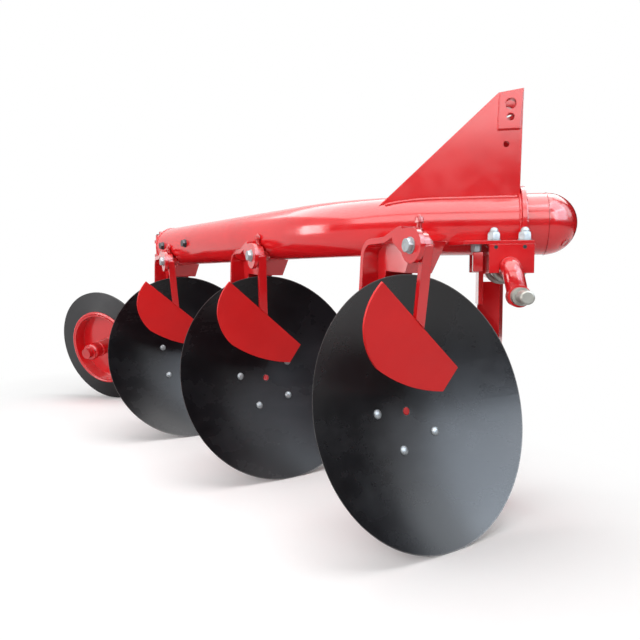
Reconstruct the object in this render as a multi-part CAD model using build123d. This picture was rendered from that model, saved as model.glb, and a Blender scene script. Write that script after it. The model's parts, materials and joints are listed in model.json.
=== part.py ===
from build123d import *
import math
import os

# Mounted disc plough with three discs. Millimetres and degrees.
# Working frame: x forward, y to the left, z up, ground at zero, first disc over the origin.
# Stations on a disc unit: s back along the line of discs, n across it to the left front.

# disc stations
UNITS = (1, 2, 3)
UNIT_STEP = 655
LINE_ANGLE = 138.4
DISC_ANGLE = -45
DISC_TILT = 14.7

# disc
DISC_R = 330
DISC_DEPTH = 85
DISC_T = 6
DISC_HOLE_R = 11

# disc hub, measured back from the rim plane
HUB_FLANGE_R = 122
HUB_FLANGE_T = 14
HUB_BODY_R = 60
HUB_BODY_BACK = 188
HUB_BORE_FRONT = 106
HUB_NOSE_GAP = 1.5
HUB_NOSE_FRONT = 84
SPINDLE_R = 27
RUNNING_GAP = 0.05
SPINDLE_FRONT = 114
SPINDLE_BACK = 268
COLLAR_R = 42
COLLAR_FRONT = 194
HOUSING_R = 60
HOUSING_FRONT = 200
HOUSING_BACK = 252

# beam
BEAM_R = 75
BEAM_WALL = 8
BEAM_CLEAR = 47.6
BEAM_Y = 125
BEAM_FRONT_X = 269
BEND_R = 559
REAR_RUN_N = -38.2
BEAM_TAIL = 60
CAP_T = 12
CAP_EDGE_R = 8

# leg, over the rim of the disc and down behind it
LEG_TOP_SHARE = 0.6
LEG_HEAD_FRONT = 2
LEG_HEAD_BACK = 98
LEG_HEAD_HALF_W = 54
LEG_KNEE_HALF_W = 46
LEG_FOOT_HALF_W = 40
LEG_TOE = (-42, -9)
LEG_OVER_RIM = (18, 12.5)
LEG_CLEAR = 22
LEG_FRONT_SHARES = (0.91, 0.74, 0.55)
LEG_HEEL = 28
LEG_BACK_SHARES = ((0.655, 0.644), (0.467, 0.877), (0.333, 1.0), (0.245, 1.115))

# scraper bracket: a strap bent up over the rim, ending in a round eye for the clamp bolt
BRACKET_S = -77
BRACKET_N = -140
BRACKET_TURN = 13
STRAP_W = 46
STRAP_T = 14
STRAP_LOW = 221
STRAP_LIMB = (243, 225)
STRAP_STEP = 124
STRAP_CREST = 62
STRAP_SHOULDER_DROP = 46
STRAP_CREST_DROP = 27
SHOULDER_BEND_R = 40
STEP_BEND_R = 55
EYE_U = 13
EYE_DROP = 64
EYE_R = 38
EYE_T = 12
EYE_TAIL = 88
EYE_THROAT = (45, -17)

# scraper arm and plate
ARM_EYE_R = 30
ARM_EYE_T = 20
ARM_W = 24
ARM_T = 14
ARM_INSET = 27
ARM_FOOT = (-66, 160, 67)
ARM_LAP = 60
PLATE_T = 6
PLATE_RISE = 0.58
PLATE_SIDE = 0.05
PLATE_LOW = -22
PLATE_STRAIGHT = ((46, 38), (77, 90), (-197, 278))
PLATE_ARCS = (((-197, 278), (-224, 227), (-225, 193)), ((-225, 193), (-204, 144), (-168, 105)),
              ((-168, 105), (-55, 57), (46, 38)))

# mast, heights above the axis of the beam
MAST_GAP = 56
MAST_T = 12
MAST_OUTLINE = ((152, 310), (210, 318), (205, 29), (-154, 29))
MAST_HOLES = ((180, 281, 12.9), (180, 250, 9), (172, 188, 7))
MAST_PAD_T = 8
MAST_PAD = ((152, 223), (202, 223), (208, 314), (155, 305))
MAST_BACK_T = 10

# hitch saddle, bearing box and cross shaft
PAD_HALF_Y = 115
PAD_X = (72, 232)
PAD_TIP_X = 40
PAD_TIP_HALF_Y = 66
PAD_DROP = 54
PAD_T = 8
RIB_X = 207
RIB_T = 10
RIB_R = 93
BOX_X0 = 131
BOX_X1 = 231
BOX_H = 67
BOX_WALL = 12
SHAFT_R = 23
SHAFT_X = 177
SHAFT_DROP = 106
THROW_X = 15
THROW_Z = 67
CRANK_BEND_R = 34
CRANK_EYE_R = 25
SHOULDER_SPAN = 825
SHOULDER_Y = -95
SHOULDER_R = 20
SHOULDER_LEN = 42
PIN_R = 14.2
PIN_LEN = 85
PIN_HOLE_R = 6
PIN_HOLE_INSET = 16
PIN_CHAMFER = 3

# parking stand
STAND_X = 159
STAND_OUT = 60
STAND_W = 60
STAND_WALL = 5
STAND_YAW = -14
TUBE_TOP_DROP = 141
TUBE_H = 380
STAND_GAP = 0.4
STAND_LEG_DROP = 185
ARM_PLATE_IN = 60
ARM_PLATE_DROP = (71, 201)
ARM_PLATE_T = 12
FOOT_W = 72
FOOT_T = 10

# furrow wheel
WHEEL_S = 896.7
WHEEL_N = -62.9
WHEEL_R = 287
WHEEL_AZ = -103.8
WHEEL_EL = -11.7
RING_IN_R = 176
RING_CONE = 26
RING_T = 9
PAN_DEPTH = 57
PAN_T = 7
WHEEL_HUB_R = 38
WHEEL_HUB_FRONT = 108
WHEEL_HUB_BACK = -88
WHEEL_CAP_R = 26
AXLE_R = 22
AXLE_FRONT = 84
ARM_BACK = -150
ARM_BEND_R = 60
KNEE_S = 693
KNEE_N = 147
KNEE_DROP = 281
KING_REACH = 178
KINGPIN_N = 0
KINGPIN_DROP = 151
SLEEVE_R = 36
SLEEVE_H = 120
KING_COLLAR_R = 34
KING_COLLAR_H = 16
WING_T = 14
WING_W = 50
WING_SHIFT = -19
WING_DZ = 30


def frame_at(x, y, z, azimuth, tilt):
    """Plane whose normal has this azimuth and rise; its x axis is level."""
    a, t = math.radians(azimuth), math.radians(tilt)
    normal = Vector(math.cos(a) * math.cos(t), math.sin(a) * math.cos(t), math.sin(t))
    level = Vector(-math.sin(a), math.cos(a), 0)
    return Plane(origin=(x, y, z), x_dir=level, z_dir=normal)


def heading(angle):
    """Level unit vector at an angle."""
    return Vector(math.cos(math.radians(angle)), math.sin(math.radians(angle)), 0)


LINE = heading(LINE_ANGLE)
ACROSS = heading(LINE_ANGLE - 90)
DISC_Z = DISC_R * math.cos(math.radians(DISC_TILT))
SPHERE_R = (DISC_R**2 + DISC_DEPTH**2) / (2 * DISC_DEPTH)
RIM_TOP = 2 * DISC_Z
BEAM_Z = RIM_TOP + BEAM_CLEAR + BEAM_R
LEG_TOP_Z = BEAM_Z - LEG_TOP_SHARE * BEAM_R
PAD_Z0 = BEAM_Z - PAD_DROP
BOX_Z0 = PAD_Z0 - BOX_H
SHAFT_Z = BEAM_Z - SHAFT_DROP
STAND_Y = BEAM_Y + PAD_HALF_Y + STAND_OUT
TUBE_TOP = BEAM_Z - TUBE_TOP_DROP
STAND_LEG_TOP = TUBE_TOP - STAND_LEG_DROP
SLEEVE_Z = (BEAM_Z - SLEEVE_H / 2, BEAM_Z + SLEEVE_H / 2)
KINGPIN_TOP = BEAM_Z + BEAM_R
KINGPIN_LOW = BEAM_Z - KINGPIN_DROP
KINGPIN_S = BEAM_TAIL + CAP_T + KING_REACH


def at_unit(i, s=0, n=0, z=0):
    """Point by station on unit i."""
    return LINE * (UNIT_STEP * (i - 1) + s) + ACROSS * n + Vector(0, 0, z)


def disc_frame(i):
    p = at_unit(i)
    return frame_at(p.X, p.Y, DISC_Z, DISC_ANGLE, DISC_TILT)


def side_plane(i, n):
    """Upright plane along the line of discs; x is s, y is height, normal is n."""
    return Plane(origin=at_unit(i, n=n), x_dir=LINE, z_dir=ACROSS)


def sphere_drop(r, radius):
    """Depth of a sphere cap below its top at radius r."""
    return radius - math.sqrt(radius**2 - r**2)


def cylinder(radius, z0, z1):
    return Pos(0, 0, (z0 + z1) / 2) * Cylinder(radius, z1 - z0)


def box_between(x0, x1, y0, y1, z0, z1):
    return Pos((x0 + x1) / 2, (y0 + y1) / 2, (z0 + z1) / 2) * Box(x1 - x0, y1 - y0, z1 - z0)


# beam
def beam_path():
    """Front run along x, then one wide bend into the run along the line of discs."""
    front = Vector(BEAM_FRONT_X, BEAM_Y, BEAM_Z)
    corner = Vector((REAR_RUN_N - BEAM_Y * ACROSS.Y) / ACROSS.X, BEAM_Y, BEAM_Z)
    rear = at_unit(len(UNITS), BEAM_TAIL, REAR_RUN_N, BEAM_Z)
    return FilletPolyline(front, corner, rear, radius=BEND_R)


def beam_bar(radius):
    start = Plane(origin=(BEAM_FRONT_X, BEAM_Y, BEAM_Z), z_dir=(-1, 0, 0))
    return sweep(start * Circle(radius), path=beam_path())


def beam_cut():
    """Beam and end cap as one solid bar, for trimming what is welded to them."""
    cap = Plane(origin=beam_end(), z_dir=LINE) * cylinder(BEAM_R, 0, CAP_T)
    return beam_bar(BEAM_R) + cap


def beam_end():
    return beam_path().edges().sort_by(Axis.X)[0].vertices().sort_by(Axis.X)[0].center()


def make_beam():
    nose = Pos(BEAM_FRONT_X, BEAM_Y, BEAM_Z)
    outer = beam_bar(BEAM_R) + nose * Sphere(BEAM_R)
    inner = beam_bar(BEAM_R - BEAM_WALL) + nose * Sphere(BEAM_R - BEAM_WALL)
    return outer - inner


def make_cap():
    lid = Plane(origin=beam_end(), z_dir=LINE) * cylinder(BEAM_R, 0, CAP_T)
    rim = lid.edges().filter_by(GeomType.CIRCLE).sort_by(Axis(beam_end(), LINE))[-1]
    return fillet(rim, CAP_EDGE_R)


# mast
def over_beam(outline):
    return [(x, BEAM_Z + z) for x, z in outline]


def mast_plate(y0, thickness):
    sheet = Plane.XZ.offset(-y0) * make_face(Polyline(*over_beam(MAST_OUTLINE), close=True))
    holes = [Plane.XZ.offset(-y0) * Pos(x, BEAM_Z + z) * Circle(r) for x, z, r in MAST_HOLES]
    return extrude(sheet - holes, thickness, dir=(0, 1, 0))


def mast_pad(y0, thickness):
    sheet = Plane.XZ.offset(-y0) * make_face(Polyline(*over_beam(MAST_PAD), close=True))
    holes = [Plane.XZ.offset(-y0) * Pos(x, BEAM_Z + z) * Circle(r) for x, z, r in MAST_HOLES[:2]]
    return extrude(sheet - holes, thickness, dir=(0, 1, 0))


def make_mast(side):
    half = MAST_GAP / 2
    plate = mast_plate(BEAM_Y + (half if side > 0 else -half - MAST_T), MAST_T)
    outer = half + MAST_T
    pad = mast_pad(BEAM_Y + (outer if side > 0 else -outer - MAST_PAD_T), MAST_PAD_T)
    return plate + pad - beam_bar(BEAM_R)


def make_mast_back():
    """Closing strip between the two plates under their sloping edges."""
    (x0, z0), (x1, z1) = over_beam((MAST_OUTLINE[0], MAST_OUTLINE[3]))
    run = math.hypot(x1 - x0, z1 - z0)
    dx, dz = (z0 - z1) / run * MAST_BACK_T, (x0 - x1) / run * -MAST_BACK_T
    wire = Polyline((x0, z0), (x1, z1), (x1 + dx, z1 + dz), (x0 + dx, z0 + dz), close=True)
    strip = extrude(Plane.XZ.offset(-BEAM_Y) * make_face(wire), MAST_GAP / 2, both=True)
    return strip - beam_bar(BEAM_R)


# hitch
def make_saddle():
    x0, x1 = PAD_X
    y0, y1 = BEAM_Y - PAD_HALF_Y, BEAM_Y + PAD_HALF_Y
    t0, t1 = BEAM_Y - PAD_TIP_HALF_Y, BEAM_Y + PAD_TIP_HALF_Y
    outline = Polyline((x1, y0), (x1, y1), (x0, y1), (PAD_TIP_X, t1), (PAD_TIP_X, t0), (x0, y0), close=True)
    pads = extrude(Plane.XY.offset(PAD_Z0) * make_face(outline), PAD_T)
    hoop = Plane(origin=(RIB_X, BEAM_Y, BEAM_Z), z_dir=(1, 0, 0)) * cylinder(RIB_R, 0, RIB_T)
    cheeks = box_between(RIB_X, RIB_X + RIB_T, BEAM_Y - RIB_R, BEAM_Y + RIB_R, PAD_Z0, BEAM_Z)
    below = box_between(RIB_X, RIB_X + RIB_T, y0, y1, BEAM_Z - RIB_R, PAD_Z0)
    return pads + (hoop + cheeks - below) - beam_bar(BEAM_R)


def make_bearing_box():
    y0, y1 = BEAM_Y - PAD_HALF_Y, BEAM_Y + PAD_HALF_Y
    w = BOX_WALL
    shell = box_between(BOX_X0, BOX_X1, y0, y1, BOX_Z0, PAD_Z0)
    hollow = box_between(BOX_X0 + w, BOX_X1 - w, y0 + w, y1 - w, BOX_Z0, PAD_Z0)
    bore = Plane(origin=(SHAFT_X, y0, SHAFT_Z), z_dir=(0, 1, 0)) * cylinder(SHAFT_R, 0, y1 - y0)
    slot = box_between(SHAFT_X - SHAFT_R, SHAFT_X + SHAFT_R, y0, y1, BOX_Z0, SHAFT_Z)
    return shell - hollow - bore - slot - beam_bar(BEAM_R)


def crank_ends():
    """Centres of the crank feet, right one down and forward, left one up and back."""
    right = Vector(SHAFT_X + THROW_X, SHOULDER_Y + SHOULDER_LEN, SHAFT_Z - THROW_Z)
    left = Vector(SHAFT_X - THROW_X, SHOULDER_Y + SHOULDER_SPAN - SHOULDER_LEN, SHAFT_Z + THROW_Z)
    return right, left


def make_cross_shaft():
    right, left = crank_ends()
    lean = SHAFT_R
    corner_r = Vector(SHAFT_X, right.Y + lean, SHAFT_Z)
    corner_l = Vector(SHAFT_X, left.Y - lean, SHAFT_Z)
    line = FilletPolyline(right + Vector(0, lean, 0), corner_r, corner_l, left - Vector(0, lean, 0),
                          radius=CRANK_BEND_R)
    down = Vector(THROW_X, 0, -THROW_Z).normalized()
    start = Plane(origin=right + Vector(0, lean, 0), z_dir=down * -1)
    bar = sweep(start * Circle(SHAFT_R), path=line)
    for foot in (right + Vector(0, lean, 0), left - Vector(0, lean, 0)):
        bar += Plane(origin=foot, z_dir=(0, 1, 0)) * cylinder(CRANK_EYE_R, -lean, lean)
    return bar


def make_link_pin(foot, side):
    frame = Plane(origin=foot, z_dir=(0, side, 0), x_dir=(1, 0, 0))
    end = SHOULDER_LEN + PIN_LEN
    pin = cylinder(SHOULDER_R, 0, SHOULDER_LEN) + cylinder(PIN_R, SHOULDER_LEN, end)
    pin = chamfer(pin.edges().filter_by(GeomType.CIRCLE).sort_by(Axis.Z)[-1], PIN_CHAMFER)
    hole = Pos(0, 0, end - PIN_HOLE_INSET) * Rot(90, 0, 0) * Cylinder(PIN_HOLE_R, PIN_R * 3)
    return frame * (pin - hole)


# parking stand
def stand_frame(z):
    return Plane(origin=(STAND_X, STAND_Y, z)) * Rot(0, 0, STAND_YAW)


def make_stand_tube():
    inside = STAND_W - 2 * STAND_WALL
    tube = stand_frame(TUBE_TOP - TUBE_H / 2) * Box(STAND_W, STAND_W, TUBE_H)
    high, low = ARM_PLATE_DROP
    inner = BEAM_Y + PAD_HALF_Y - ARM_PLATE_IN
    plate = box_between(BOX_X0 - ARM_PLATE_T, BOX_X0, inner, STAND_Y, BEAM_Z - low, BEAM_Z - high)
    hollow = stand_frame(TUBE_TOP - TUBE_H / 2) * Box(inside, inside, TUBE_H)
    return tube + plate - hollow


def make_stand_leg():
    side = STAND_W - 2 * STAND_WALL - 2 * STAND_GAP
    return stand_frame((STAND_LEG_TOP + FOOT_T) / 2) * Box(side, side, STAND_LEG_TOP - FOOT_T)


def make_stand_foot():
    return stand_frame(FOOT_T / 2) * Box(FOOT_W, FOOT_W, FOOT_T)


# disc units
def make_disc(i):
    back_r = SPHERE_R + DISC_T
    centre = SPHERE_R - DISC_DEPTH
    mid = (DISC_R + DISC_HOLE_R) / 2

    def face_z(r, radius):
        return centre - math.sqrt(radius**2 - r**2)

    edge_r = DISC_R - DISC_T
    wire = ThreePointArc((DISC_HOLE_R, 0, face_z(DISC_HOLE_R, SPHERE_R)), (mid, 0, face_z(mid, SPHERE_R)),
                         (DISC_R, 0, face_z(DISC_R, SPHERE_R)))
    wire += Line((DISC_R, 0, face_z(DISC_R, SPHERE_R)), (edge_r, 0, face_z(edge_r, back_r)))
    wire += ThreePointArc((edge_r, 0, face_z(edge_r, back_r)), (mid, 0, face_z(mid, back_r)),
                          (DISC_HOLE_R, 0, face_z(DISC_HOLE_R, back_r)))
    wire += Line((DISC_HOLE_R, 0, face_z(DISC_HOLE_R, back_r)), (DISC_HOLE_R, 0, face_z(DISC_HOLE_R, SPHERE_R)))
    return disc_frame(i) * revolve(make_face(wire), Axis.Z)


def make_hub(i):
    back_r = SPHERE_R + DISC_T
    nose_r = DISC_HOLE_R - HUB_NOSE_GAP
    top = -DISC_DEPTH - DISC_T
    rim_z = top + sphere_drop(HUB_FLANGE_R, back_r)
    mid = (HUB_FLANGE_R + nose_r) / 2
    nose_z = top + sphere_drop(nose_r, back_r)
    mid_z = top + sphere_drop(mid, back_r)
    step_z = rim_z - HUB_FLANGE_T
    bore_r = SPINDLE_R + RUNNING_GAP
    wire = Polyline((0, 0, -HUB_NOSE_FRONT), (nose_r, 0, -HUB_NOSE_FRONT), (nose_r, 0, nose_z))
    wire += ThreePointArc((nose_r, 0, nose_z), (mid, 0, mid_z), (HUB_FLANGE_R, 0, rim_z))
    wire += Polyline((HUB_FLANGE_R, 0, rim_z), (HUB_FLANGE_R, 0, step_z),
                     (HUB_BODY_R, 0, step_z - HUB_FLANGE_T), (HUB_BODY_R, 0, -HUB_BODY_BACK),
                     (bore_r, 0, -HUB_BODY_BACK), (bore_r, 0, -HUB_BORE_FRONT),
                     (0, 0, -HUB_BORE_FRONT), (0, 0, -HUB_NOSE_FRONT))
    return disc_frame(i) * revolve(make_face(wire), Axis.Z)


def make_spindle(i):
    bar = cylinder(SPINDLE_R, -SPINDLE_BACK, -SPINDLE_FRONT) + cylinder(COLLAR_R, -HOUSING_FRONT, -COLLAR_FRONT)
    return disc_frame(i) * bar


def dish_back(r):
    """Depth of the back of the dish behind the rim plane at radius r."""
    return DISC_DEPTH + DISC_T - sphere_drop(r, SPHERE_R + DISC_T)


def behind(back, up):
    """Station and height of a point given by its place behind the rim plane and up the disc."""
    point = disc_frame(1).from_local_coords(Vector(0, up, -back))
    return (point.dot(LINE), point.Z)


def leg_outline():
    front = [behind(LEG_TOE[0], DISC_R + LEG_TOE[1]), behind(LEG_OVER_RIM[0], DISC_R + LEG_OVER_RIM[1])]
    front += [behind(dish_back(share * DISC_R) + LEG_CLEAR, share * DISC_R) for share in LEG_FRONT_SHARES]
    foot = [behind(HOUSING_FRONT, 2 * HOUSING_R), behind(HOUSING_FRONT, -HOUSING_R / 2)]
    heel = [behind(HOUSING_BACK + LEG_HEEL / 2, -HOUSING_R / 2), behind(HOUSING_BACK + LEG_HEEL, HOUSING_R)]
    back = [behind(b * DISC_R, up * DISC_R) for b, up in LEG_BACK_SHARES]
    head = [(LEG_HEAD_BACK, LEG_TOP_Z), (LEG_HEAD_FRONT, LEG_TOP_Z)]
    return front + foot + heel + back + head


def make_leg(i):
    outline = leg_outline()
    side = extrude(side_plane(i, 0) * make_face(Polyline(*outline, close=True)), LEG_HEAD_HALF_W, both=True)
    low = min(z for s, z in outline)
    h, w, f = LEG_HEAD_HALF_W, LEG_KNEE_HALF_W, LEG_FOOT_HALF_W
    taper = Polyline((-f, low), (f, low), (w, RIM_TOP), (h, LEG_TOP_Z), (-h, LEG_TOP_Z), (-w, RIM_TOP), close=True)
    across = Plane(origin=at_unit(i), x_dir=ACROSS, z_dir=LINE * -1)
    leg = side & extrude(across * make_face(taper), UNIT_STEP, dir=LINE)
    housing = disc_frame(i) * cylinder(HOUSING_R, -HOUSING_BACK, -HOUSING_FRONT)
    seat = cylinder(SPINDLE_R, -HOUSING_BACK * 2, -COLLAR_FRONT) + cylinder(COLLAR_R, -HOUSING_FRONT, -COLLAR_FRONT)
    return leg + housing - disc_frame(i) * seat - beam_cut()


# scrapers
def bracket_plane(i, n=0):
    """Upright plane of the bracket's near edges; x runs back along it, y is height."""
    turned = LINE.rotate(Axis.Z, -BRACKET_TURN)
    inward = ACROSS.rotate(Axis.Z, -BRACKET_TURN)
    return Plane(origin=at_unit(i, BRACKET_S, BRACKET_N) + inward * n, x_dir=turned, z_dir=inward)


def make_bracket(i, leg):
    """Bent strap from the back of the leg over the rim of the disc to the round eye."""
    eye_z = BEAM_Z - EYE_DROP
    run_z = BEAM_Z - STRAP_SHOULDER_DROP
    crest_z = BEAM_Z - STRAP_CREST_DROP
    frame = bracket_plane(i, STRAP_W / 2)
    low, high = STRAP_LIMB
    corners = ((low, BEAM_Z - STRAP_LOW), (high, run_z), (STRAP_STEP, run_z), (STRAP_CREST, crest_z),
               (EYE_U + EYE_R, crest_z))
    points = [frame.from_local_coords(Vector(u, z, 0)) for u, z in corners]
    path = FilletPolyline(*points, radius=(SHOULDER_BEND_R, STEP_BEND_R, STEP_BEND_R))
    start = Plane(origin=points[0], x_dir=frame.z_dir, z_dir=points[1] - points[0])
    strap = sweep(start * Rectangle(STRAP_W, STRAP_T), path=path)
    throat_u, throat_z = EYE_THROAT
    wedge = Polyline((EYE_U, eye_z + EYE_R), (EYE_TAIL, crest_z), (EYE_TAIL, eye_z + EYE_T),
                     (throat_u, eye_z + throat_z), (EYE_U, eye_z - EYE_R), close=True)
    cheek = make_face(wedge) + Pos(EYE_U, eye_z) * Circle(EYE_R)
    return strap + extrude(bracket_plane(i) * cheek, EYE_T) - beam_cut() - leg


def arm_line(i):
    foot = disc_frame(i).from_local_coords(Vector(*ARM_FOOT))
    top = bracket_plane(i, EYE_T + ARM_W / 2).from_local_coords(Vector(EYE_U - ARM_INSET, BEAM_Z - EYE_DROP, 0))
    return foot, top


def scraper_bar(i):
    """Flat bar from the clamp eye down to the scraper plate."""
    foot, top = arm_line(i)
    along = (foot - top).normalized()
    inward = bracket_plane(i).z_dir
    frame = Plane(origin=top, x_dir=inward - along * inward.dot(along), z_dir=along)
    length = (foot - top).length
    return frame * (Pos(0, 0, length / 2) * Box(ARM_W, ARM_T, length))


def plate_frame(i):
    normal = Vector(-PLATE_SIDE, -PLATE_RISE, 1)
    along = Vector(1, 0, PLATE_SIDE)
    base = disc_frame(i)
    origin = base.from_local_coords(Vector(0, 0, PLATE_LOW))
    tip = base.from_local_coords(Vector(0, 0, PLATE_LOW) + normal)
    side = base.from_local_coords(Vector(0, 0, PLATE_LOW) + along)
    return Plane(origin=origin, x_dir=side - origin, z_dir=tip - origin)


def on_plate(x, y):
    """Plate coordinates of the point seen at x and y square to the disc."""
    along = Vector(1, 0, PLATE_SIDE).normalized()
    normal = Vector(-PLATE_SIDE, -PLATE_RISE, 1).normalized()
    rise = normal.cross(along)
    point = Vector(x, y, PLATE_SIDE * x + PLATE_RISE * y)
    return (point.dot(along), point.dot(rise))


def plate_sheet(i):
    wire = Polyline(*(on_plate(*p) for p in PLATE_STRAIGHT))
    for arc in PLATE_ARCS:
        wire += ThreePointArc(*(on_plate(*p) for p in arc))
    return plate_frame(i) * make_face(wire)


def make_scraper_plate(i):
    return extrude(plate_sheet(i), PLATE_T)


def make_scraper_arm(i):
    eye = bracket_plane(i, EYE_T) * (Pos(EYE_U, BEAM_Z - EYE_DROP, 0) * cylinder(ARM_EYE_R, 0, ARM_EYE_T))
    return scraper_bar(i) - extrude(plate_sheet(i), ARM_LAP) + eye


# furrow wheel
def wheel_frame():
    p = at_unit(len(UNITS), WHEEL_S, WHEEL_N)
    return frame_at(p.X, p.Y, WHEEL_R * math.cos(math.radians(WHEEL_EL)), WHEEL_AZ, WHEEL_EL)


def make_wheel_ring():
    wire = Polyline((WHEEL_R, 0, 0), (WHEEL_R, 0, -RING_T), (RING_IN_R, 0, RING_CONE - RING_T),
                    (RING_IN_R, 0, RING_CONE), close=True)
    return wheel_frame() * revolve(make_face(wire), Axis.Z)


def make_wheel_pan():
    r0, r1 = RING_IN_R - PAN_T, RING_IN_R
    floor = RING_CONE - PAN_DEPTH
    wire = Polyline((r1, 0, RING_CONE + PAN_T), (r1, 0, floor), (WHEEL_HUB_R, 0, floor),
                    (WHEEL_HUB_R, 0, floor + PAN_T), (r0, 0, floor + PAN_T), (r0, 0, RING_CONE + PAN_T), close=True)
    return wheel_frame() * revolve(make_face(wire), Axis.Z)


def make_wheel_hub():
    body = cylinder(WHEEL_HUB_R, WHEEL_HUB_BACK, WHEEL_HUB_FRONT)
    cap = cylinder(WHEEL_CAP_R, WHEEL_HUB_FRONT, WHEEL_HUB_FRONT + WHEEL_CAP_R)
    bore = cylinder(AXLE_R + RUNNING_GAP, WHEEL_HUB_BACK, AXLE_FRONT + PAN_T)
    return wheel_frame() * (body + cap - bore)


def king_point(z):
    return at_unit(len(UNITS), KINGPIN_S, KINGPIN_N, z)


def make_wheel_arm():
    frame = wheel_frame()
    tip = frame.from_local_coords(Vector(0, 0, AXLE_FRONT))
    elbow = frame.from_local_coords(Vector(0, 0, ARM_BACK))
    knee = at_unit(len(UNITS), KNEE_S, KNEE_N, BEAM_Z - KNEE_DROP)
    line = FilletPolyline(tip, elbow, knee, king_point(KINGPIN_LOW), king_point(KINGPIN_TOP),
                          radius=ARM_BEND_R)
    start = Plane(origin=tip, z_dir=elbow - tip)
    bar = sweep(start * Circle(AXLE_R), path=line)
    collar = Pos(*king_point(0)) * cylinder(KING_COLLAR_R, SLEEVE_Z[0] - KING_COLLAR_H, SLEEVE_Z[0] - PAN_T)
    return bar + collar


def make_wheel_bracket():
    z0, z1 = SLEEVE_Z
    sleeve = Pos(*king_point(0)) * cylinder(SLEEVE_R, z0, z1)
    start = beam_end() + LINE * CAP_T
    reach = (king_point(BEAM_Z) - start).dot(LINE)
    frame = Plane(origin=start, x_dir=LINE, z_dir=(0, 0, 1))
    body = sleeve
    for z in (-WING_DZ, WING_DZ):
        body += frame * (Pos(reach / 2, WING_SHIFT, z) * Box(reach, WING_W, WING_T))
    body += frame * (Pos(reach / 2, WING_SHIFT, 0) * Box(reach, WING_T, 2 * WING_DZ))
    bore = Pos(*king_point(0)) * cylinder(AXLE_R + RUNNING_GAP, z0, z1)
    return body - bore


def make_all():
    right, left = crank_ends()
    nodes = {
        "beam": make_beam(),
        "beam_cap": make_cap(),
        "mast_right": make_mast(-1),
        "mast_left": make_mast(1),
        "mast_back": make_mast_back(),
        "hitch_saddle": make_saddle(),
        "bearing_box": make_bearing_box(),
        "cross_shaft": make_cross_shaft(),
        "link_pin_right": make_link_pin(right, -1),
        "link_pin_left": make_link_pin(left, 1),
        "stand_tube": make_stand_tube(),
        "stand_leg": make_stand_leg(),
        "stand_foot": make_stand_foot(),
        "wheel_ring": make_wheel_ring(),
        "wheel_pan": make_wheel_pan(),
        "wheel_hub": make_wheel_hub(),
        "wheel_arm": make_wheel_arm(),
        "wheel_bracket": make_wheel_bracket(),
    }
    for i in UNITS:
        leg = make_leg(i)
        nodes[f"disc_{i}"] = make_disc(i)
        nodes[f"disc_hub_{i}"] = make_hub(i)
        nodes[f"disc_spindle_{i}"] = make_spindle(i)
        nodes[f"leg_{i}"] = leg
        nodes[f"scraper_bracket_{i}"] = make_bracket(i, leg)
        nodes[f"scraper_arm_{i}"] = make_scraper_arm(i)
        nodes[f"scraper_plate_{i}"] = make_scraper_plate(i)
    return nodes


def to_solid(shape):
    solids = shape.solids()
    return max(solids, key=lambda one: one.volume)


def main():
    nodes = make_all()
    for name, shape in nodes.items():
        count = len(shape.solids())
        if count != 1:
            print(name, "has", count, "solids", [round(x.volume) for x in shape.solids()])
    whole = Compound(children=[to_solid(s) for s in nodes.values()])
    box = whole.bounding_box()
    shift = Vector(-(box.min.X + box.max.X) / 2, -(box.min.Y + box.max.Y) / 2, -box.min.Z)
    print("box", box.size, "shift", shift)
    os.makedirs("parts", exist_ok=True)
    for name, shape in nodes.items():
        export_step(Pos(*shift) * to_solid(shape), f"parts/{name}.step")


if __name__ == "__main__":
    main()
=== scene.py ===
import json
import math

import bmesh
import bpy
from mathutils import Matrix, Vector
from mathutils.bvhtree import BVHTree


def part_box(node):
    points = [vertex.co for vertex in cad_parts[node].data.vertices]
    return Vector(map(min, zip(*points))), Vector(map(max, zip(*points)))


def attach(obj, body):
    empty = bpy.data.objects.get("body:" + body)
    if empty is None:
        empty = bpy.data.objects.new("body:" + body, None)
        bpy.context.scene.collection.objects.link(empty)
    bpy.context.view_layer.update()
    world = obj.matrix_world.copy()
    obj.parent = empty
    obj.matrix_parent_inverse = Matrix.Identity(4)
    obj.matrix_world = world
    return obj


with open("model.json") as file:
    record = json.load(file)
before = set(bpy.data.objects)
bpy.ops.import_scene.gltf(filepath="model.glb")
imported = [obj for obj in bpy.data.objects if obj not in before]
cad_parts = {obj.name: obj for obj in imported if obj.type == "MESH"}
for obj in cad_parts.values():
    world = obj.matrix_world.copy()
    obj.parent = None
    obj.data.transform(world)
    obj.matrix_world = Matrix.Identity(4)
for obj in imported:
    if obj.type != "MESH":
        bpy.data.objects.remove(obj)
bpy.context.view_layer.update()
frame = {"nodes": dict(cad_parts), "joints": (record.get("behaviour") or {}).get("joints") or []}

# Looks of a mounted disc plough. +X is the way it is pulled, +Y its left side, +Z up.
# Points, shaders, camera and lights are in metres, all other lengths in millimetres.
# Stations on a disc unit: s back along the line of discs, n across it, away from the camera.

NODES = frame["nodes"]
JOINTS = {joint["name"]: joint for joint in frame["joints"]}
UNITS = (1, 2, 3)
UP = Vector((0, 0, 1))
FORWARD = Vector((1, 0, 0))
MM = 0.001


# places and frames
def joint_place(name):
    """Place and unit axis of a joint."""
    joint = JOINTS[name]
    return Vector(joint["pos_m"]), Vector(joint["axis"]).normalized()


HUBS = {i: joint_place(f"disc_{i}_spin")[0] for i in UNITS}
KING = joint_place("furrow_wheel_steer")[0]
GROUND = Vector((HUBS[1].x, HUBS[1].y, 0))
LINE = (HUBS[2] - HUBS[1]).normalized()
ACROSS = Vector((LINE.y, -LINE.x, 0))


def level(point, z):
    """Point over or under another, at height z."""
    return Vector((point.x, point.y, z * MM))


def at_unit(i, s=0.0, n=0.0, z=0.0):
    """Point by station on a disc unit, z from the ground."""
    return level(HUBS[i], z) + LINE * (s * MM) + ACROSS * (n * MM)


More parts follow.
